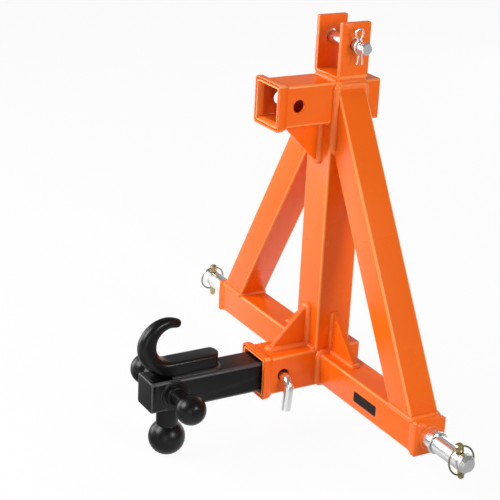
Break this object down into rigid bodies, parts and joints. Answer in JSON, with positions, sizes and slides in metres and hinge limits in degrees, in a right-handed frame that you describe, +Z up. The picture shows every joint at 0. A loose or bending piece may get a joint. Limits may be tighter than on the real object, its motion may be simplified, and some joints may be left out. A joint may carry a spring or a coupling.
{
  "type": "trailer hitch",
  "caption": "Welded A-frame tractor hitch with an upper and a lower square receiver, top-link clevis, lower lift pins and a tow ball mount with a hook.",
  "frame": {"origin": "midpoint between the two lower lift pins, on their common axis", "axes": "+X along the cross tube to the right-hand lift pin, +Y from the receiver mouths to the tractor, +Z up"},
  "size_m": [0.795, 0.3879, 0.6756],
  "materials": {
    "frame_coat": "orange powder coat, satin, over welded steel tube",
    "mount_coat": "black powder coat, satin to semi-gloss",
    "zinc_plate": "bright zinc plate",
    "yellow_zinc": "yellow chromate over zinc",
    "spring_wire": "olive plated spring wire"
  },
  "bodies": {
    "hitch_frame": {"lower_receiver_tube": "frame_coat", "lower_receiver_collar": "frame_coat", "upper_receiver_tube": "frame_coat", "upper_receiver_collar": "frame_coat", "upright_tube": "frame_coat", "upper_front_gusset": "frame_coat", "lower_front_gusset": "frame_coat", "top_clevis": "frame_coat", "right_leg": "frame_coat", "left_leg": "frame_coat", "right_cross_tube": "frame_coat", "left_cross_tube": "frame_coat", "right_end_plate": "frame_coat", "left_end_plate": "frame_coat", "right_side_gusset": "frame_coat", "left_side_gusset": "frame_coat", "right_lift_pin": "zinc_plate", "left_lift_pin": "zinc_plate", "right_linch_pin": "yellow_zinc", "left_linch_pin": "yellow_zinc", "ball_mount_shank": "mount_coat", "shank_front_cap": "mount_coat", "right_tow_ball": "mount_coat", "left_tow_ball": "mount_coat", "lower_tow_ball": "mount_coat", "tow_hook": "mount_coat"},
    "top_link_pin": {"top_link_pin": "zinc_plate", "top_pin_clip": "zinc_plate"},
    "hitch_pin": {"hitch_pin": "zinc_plate", "hitch_pin_clip": "zinc_plate"},
    "right_linch_ring": {"right_linch_ring": "spring_wire"},
    "left_linch_ring": {"left_linch_ring": "spring_wire"}
  },
  "joints": [
    {"name": "top_pin_turn", "type": "hinge", "parent": "hitch_frame", "child": "top_link_pin", "pos_m": [0, 0, 0.53225], "axis": [1, 0, 0], "continuous": true},
    {"name": "hitch_pin_swing", "type": "hinge", "parent": "hitch_frame", "child": "hitch_pin", "pos_m": [0, -0.091, -0.00205], "axis": [1, 0, 0], "continuous": true},
    {"name": "right_ring_flip", "type": "hinge", "parent": "hitch_frame", "child": "right_linch_ring", "pos_m": [0.376, -0.00356, 0.02019], "axis": [0, -0.9848, -0.1736], "range_deg": [0, 150]},
    {"name": "left_ring_flip", "type": "hinge", "parent": "hitch_frame", "child": "left_linch_ring", "pos_m": [-0.376, 0, 0.0205], "axis": [0, 1, 0], "range_deg": [0, 150]}
  ]
}
